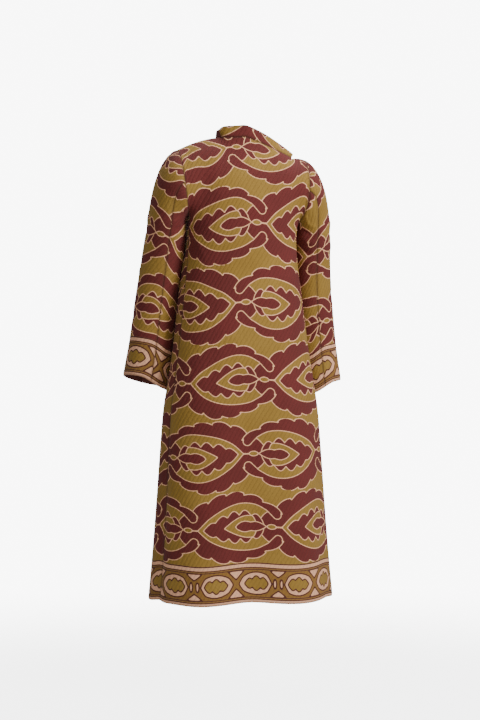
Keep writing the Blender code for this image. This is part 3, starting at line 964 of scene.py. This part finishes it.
def figured_material():
    """The figured cloth: gold ground, red leaves, pale cords, and the border by its height on the cloth."""
    material, tree, shader, uv, across, up = cloth_basis("figured_cloth_look")
    plait, bud = attribute(tree, "plait"), attribute(tree, "bud")
    lining, seam = attribute(tree, "lining"), attribute(tree, "seam")
    tone = noise(tree, uv, 9, 3)
    streak = noise(tree, uv, 260, 2, (1.0, 0.12, 1))
    gold = mixed(tree, step_between(tone, 0.3, 0.7), (0.320, 0.178, 0.028), (0.375, 0.218, 0.040))
    gold = mixed(tree, streak * 0.5, gold, (0.225, 0.130, 0.020))
    red = mixed(tree, step_between(tone, 0.3, 0.7), (0.140, 0.020, 0.017), (0.172, 0.024, 0.021))
    red = mixed(tree, streak * 0.5, red, (0.100, 0.015, 0.013))
    pale = mixed(tree, streak, (1.0, 0.55, 0.30), (0.90, 0.47, 0.245))

    # Each shape covers what lies under it, and a pale cord follows its outline.
    ground, cord = gold, None
    for name, colour in zip(SHAPES, (red, red, red, gold, red, gold)):
        shape = attribute(tree, name)
        ground = mixed(tree, step_between(shape, -0.4, 0.4), ground, colour)
        line = 1 - step_between(worked("ABSOLUTE", shape), 0.9, 1.75)
        if cord is None:
            cord = line
        else:
            cord = worked("MAXIMUM", cord * (1 - step_between(shape, 0.2, 1.0)), line)
    groove, slub = cloth_relief(tree, shader, uv, across, up, cord)
    field = mixed(tree, cord, ground, pale)

    bare = mixed(tree, streak, (0.95, 0.50, 0.295), (0.79, 0.41, 0.24))
    tan = mixed(tree, streak, (0.31, 0.150, 0.030), (0.24, 0.115, 0.024))
    dark = (0.075, 0.016, 0.010)
    centre = mixed(tree, step_between(plait, -0.3, 0.3), tan, bare)
    in_bud = step_between(bud, -0.3, 0.3) * step_between(plait, -1.0, 0.0)
    centre = mixed(tree, in_bud, centre, gold)
    line = 1 - step_between(worked("ABSOLUTE", plait), 1.3, 2.1)
    bud_line = (1 - step_between(worked("ABSOLUTE", bud), 1.2, 2.0)) * step_between(plait, -1.0, 0.0)
    centre = mixed(tree, worked("MAXIMUM", line, bud_line), centre, dark)
    stripes = bare
    for low, high, colour in STRIPES:
        inside = step_between(up, low - 0.3, low + 0.3) * (1 - step_between(up, high - 0.3, high + 0.3))
        stripes = mixed(tree, inside, stripes, {"dark": dark, "tan": tan, "plait": centre}[colour])
    whole = mixed(tree, step_between(up, BORDER - 0.3, BORDER + 0.3), stripes, field)

    # Painted shade: darker brown in the quilting's grooves and along the sunk seams and edges, with the cloth's
    # own slub tone mixed in.
    shade_and_slub = mixed(tree, groove * 0.16 + slub * 0.10 + seam * 0.45, whole, (0.055, 0.022, 0.010))
    final = mixed(tree, step_between(lining, 0.4, 0.9), shade_and_slub, (0.150, 0.042, 0.034))
    tree.links.new(final, shader.inputs["Base Color"])
    rough = 0.78 + 0.12 * slub - 0.06 * cord
    tree.links.new(rough.socket, shader.inputs["Roughness"])
    return material


def band_material():
    """The plain red cloth of the front bands."""
    material, tree, shader, uv, across, up = cloth_basis("band_cloth_look")
    tone = noise(tree, uv, 14, 3)
    groove, slub = cloth_relief(tree, shader, uv, across, up, 0.0)
    red = mixed(tree, tone, (0.135, 0.020, 0.017), (0.172, 0.025, 0.021))
    # Painted shade: darker in the quilting's grooves, with the cloth's own slub tone mixed in.
    shade_and_slub = mixed(tree, groove * 0.16 + slub * 0.12, red, (0.05, 0.014, 0.010))
    tree.links.new(shade_and_slub, shader.inputs["Base Color"])
    rough = 0.80 + 0.10 * slub
    tree.links.new(rough.socket, shader.inputs["Roughness"])
    return material


# Heights on the cloth of the border's stripes, from the edge up. What no stripe covers is pale.
STRIPES = (
    (8.3, 11.3, "dark"),
    (11.3, 14.0, "tan"),
    (14.0, 16.6, "dark"),
    (16.6, 88.2, "plait"),
    (88.2, 90.8, "dark"),
    (90.8, 93.3, "tan"),
    (93.3, 96.2, "dark"),
    (104.8, 108.0, "dark"),
)


# ---------------------------------------------------------------------------------------------
# The coat
# ---------------------------------------------------------------------------------------------

# Body panels: 6 or 7 pieces between two CAD rows. The seams' own curves are kept exactly.
back = relaxed(back_rows())
left_front = relaxed(front_rows("left"))
right_front = relaxed(front_rows("right"))
first_neck = SHOULDER_COLUMNS["left"]
last_neck = first_neck + NECK_COLUMNS["left"] + NECK_COLUMNS["right"]
fine_back = refined(back, 7, 7, LOW_ROWS)
fine_back = eased_to(fine_back, blocks_refined(back[-1], (first_neck, last_neck), 7), 28)
body = {
    "back": fine_back,
    "front_left": refined(left_front, 6, 10, LOW_ROWS),
    "front_right": refined(right_front, 6, 14, LOW_ROWS)[:, ::-1],
    "front_band_left": refined(front_band_rows("left", left_front), 6, 6, LOW_ROWS),
    "front_band_right": refined(front_band_rows("right", right_front), 6, 6, LOW_ROWS)[:, ::-1],
    "collar": refined(collar_rows(back), 6, 8),
}

# Sleeves: a top half and an under half, each brought onto the fine armhole at its head.
sleeve = sleeve_rows(armhole(back, left_front))
hole = np.concatenate(
    [
        finer(back[:, 0], 0, 6, LOW_ROWS)[LOW_ROWS * 6 :][::-1],
        finer(left_front[:, -1], 0, 6, LOW_ROWS)[LOW_ROWS * 6 + 1 :],
    ]
)
low, high = BACK_SLEEVE_SEAM, FRONT_SLEEVE_SEAM
top_half = np.concatenate([sleeve[:, high:-1], sleeve[:, : low + 1]], 1)
top_hole = np.concatenate([hole[high * 6 : -1], hole[: low * 6 + 1]])
top_half = eased_to(refined(top_half, 9, 6), top_hole, 30)
under_half = eased_to(refined(sleeve[:, low : high + 1], 9, 6), hole[low * 6 : high * 6 + 1], 30)
sleeves = {
    "sleeve_left_top": top_half,
    "sleeve_left_under": under_half,
    "sleeve_right_top": (top_half * np.array([-1, 1, 1]))[:, ::-1],
    "sleeve_right_under": (under_half * np.array([-1, 1, 1]))[:, ::-1],
}
panels = {name: lean(drape(rows), False) for name, rows in body.items()}
panels.update({name: lean(rows, True) for name, rows in sleeves.items()})
panels = {name: nestled(name, rows) for name, rows in panels.items()}
panels = {name: cuff_hung(name, corner_turned(name, rows)) for name, rows in panels.items()}
normals = {name: outward_normals(rows) for name, rows in panels.items()}
share_seam_normals(panels, normals)

# How each panel was cut: the column that its grain runs along, how far up its lower edge lies,
# how far the design is shifted for rows that face right and left, whether its rows start turned,
# their slant and tilt, how far they are sunk everywhere and midway, the border's shift, and how
# coarse its inner face is.
LAYOUTS = {
    "back": (119, 0, (-175, 197), 0, -0.036, 0.034, (0, 15), -57, (7, 7)),
    "front_left": (0, 0, (40, 110), 0, 0, 0, (0, 0), 20, (6, 5)),
    "front_right": (-1, 0, (150, 20), 0, 0, 0, (0, 0), 90, (6, 7)),
    "front_band_left": (0, 0, (0, 0), 0, 0, 0, (0, 0), 0, (6, 6)),
    "front_band_right": (-1, 0, (0, 0), 0, 0, 0, (0, 0), 0, (6, 6)),
    "collar": (40, 1180, (30, 22), 0, 0, 0, (0, 0), 0, (6, 4)),
    "sleeve_left_top": (36, 0, (98, 201), 1, 0, 0, (15, 0), 102, (9, 6)),
    "sleeve_left_under": (36, 0, (-97, 11), 1, 0, 0, (15, 0), -86, (9, 6)),
    "sleeve_right_top": (36, 0, (-42, 110), 0, 0, 0, (30, 0), -48, (9, 6)),
    "sleeve_right_under": (36, 0, (-87, 67), 0, 0, 0, (30, 0), 142, (9, 6)),
}

figured, plain = figured_material(), band_material()
pieces = {}
for name, rows in panels.items():
    is_band = name.startswith("front_band")
    piece, flat_size, area = add_panel(name, rows, normals[name], LAYOUTS[name], plain if is_band else figured)
    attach(piece, "root")
    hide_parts(name)


# ---------------------------------------------------------------------------------------------
# Floor, light and camera
# ---------------------------------------------------------------------------------------------

# The floor fades out into the pale room round it.
bpy.ops.mesh.primitive_circle_add(vertices=96, radius=4.0, fill_type="NGON", location=(0, 0, -1.56))
floor = bpy.context.object
floor.name = "floor"
paint = bpy.data.materials.new("floor_paint")
paint.use_nodes = True
tree = paint.node_tree
shader = tree.nodes["Principled BSDF"]
shader.inputs["Base Color"].default_value = (0.80, 0.80, 0.79, 1.0)
shader.inputs["Roughness"].default_value = 0.9
clear = tree.nodes.new("ShaderNodeBsdfTransparent")
blend = tree.nodes.new("ShaderNodeMixShader")
place = tree.nodes.new("ShaderNodeTexCoord")
length = tree.nodes.new("ShaderNodeVectorMath")
length.operation = "LENGTH"
tree.links.new(place.outputs["Object"], length.inputs[0])
fade = 0.55 + 0.45 * step_between(Term(length.outputs["Value"]), 0.6, 2.6)
tree.links.new(fade.socket, blend.inputs[0])
tree.links.new(shader.outputs[0], blend.inputs[1])
tree.links.new(clear.outputs[0], blend.inputs[2])
tree.links.new(blend.outputs[0], tree.nodes["Material Output"].inputs["Surface"])
floor.data.materials.append(paint)

world = bpy.data.worlds.new("studio")
bpy.context.scene.world = world
world.use_nodes = True
tree = world.node_tree
dim = tree.nodes["Background"]
dim.inputs["Color"].default_value = (0.95, 0.97, 1.0, 1.0)
dim.inputs["Strength"].default_value = 0.30
bright = tree.nodes.new("ShaderNodeBackground")
bright.inputs["Color"].default_value = (1.0, 1.0, 1.0, 1.0)
bright.inputs["Strength"].default_value = 8.6
blend = tree.nodes.new("ShaderNodeMixShader")
tree.links.new(tree.nodes.new("ShaderNodeLightPath").outputs["Is Camera Ray"], blend.inputs[0])
tree.links.new(dim.outputs[0], blend.inputs[1])
tree.links.new(bright.outputs[0], blend.inputs[2])
tree.links.new(blend.outputs[0], tree.nodes["World Output"].inputs["Surface"])

TURN = math.radians(165)
CENTRE = Vector((0.0, 0.0, -0.624))
TO_CAMERA = Vector((math.sin(TURN), -math.cos(TURN), 0.0))
TO_RIGHT = Vector((math.cos(TURN), math.sin(TURN), 0.0))


def soft_light(name, forward, right, up, size, power):
    light = bpy.data.lights.new(name, "AREA")
    light.shape = "DISK"
    light.size = size
    light.energy = power
    lamp = bpy.data.objects.new(name, light)
    lamp.location = CENTRE + TO_CAMERA * forward + TO_RIGHT * right + Vector((0, 0, up))
    lamp.rotation_euler = (CENTRE - lamp.location).to_track_quat("-Z", "Y").to_euler()
    bpy.context.scene.collection.objects.link(lamp)


soft_light("key", 2.0, 2.4, 1.7, 1.2, 124)
soft_light("fill", 3.0, -0.8, 0.3, 2.4, 18)
soft_light("overhead", -0.4, 0.3, 2.7, 1.8, 40)

camera = bpy.data.cameras.new("camera")
camera.sensor_fit = "VERTICAL"
camera.sensor_height = 36.0
camera.lens = 36 * 5.2 / 2.016
view = bpy.data.objects.new("camera", camera)
view.location = CENTRE + TO_CAMERA * 5.2
view.rotation_euler = (CENTRE - view.location).to_track_quat("-Z", "Y").to_euler()
bpy.context.scene.collection.objects.link(view)
bpy.context.scene.camera = view
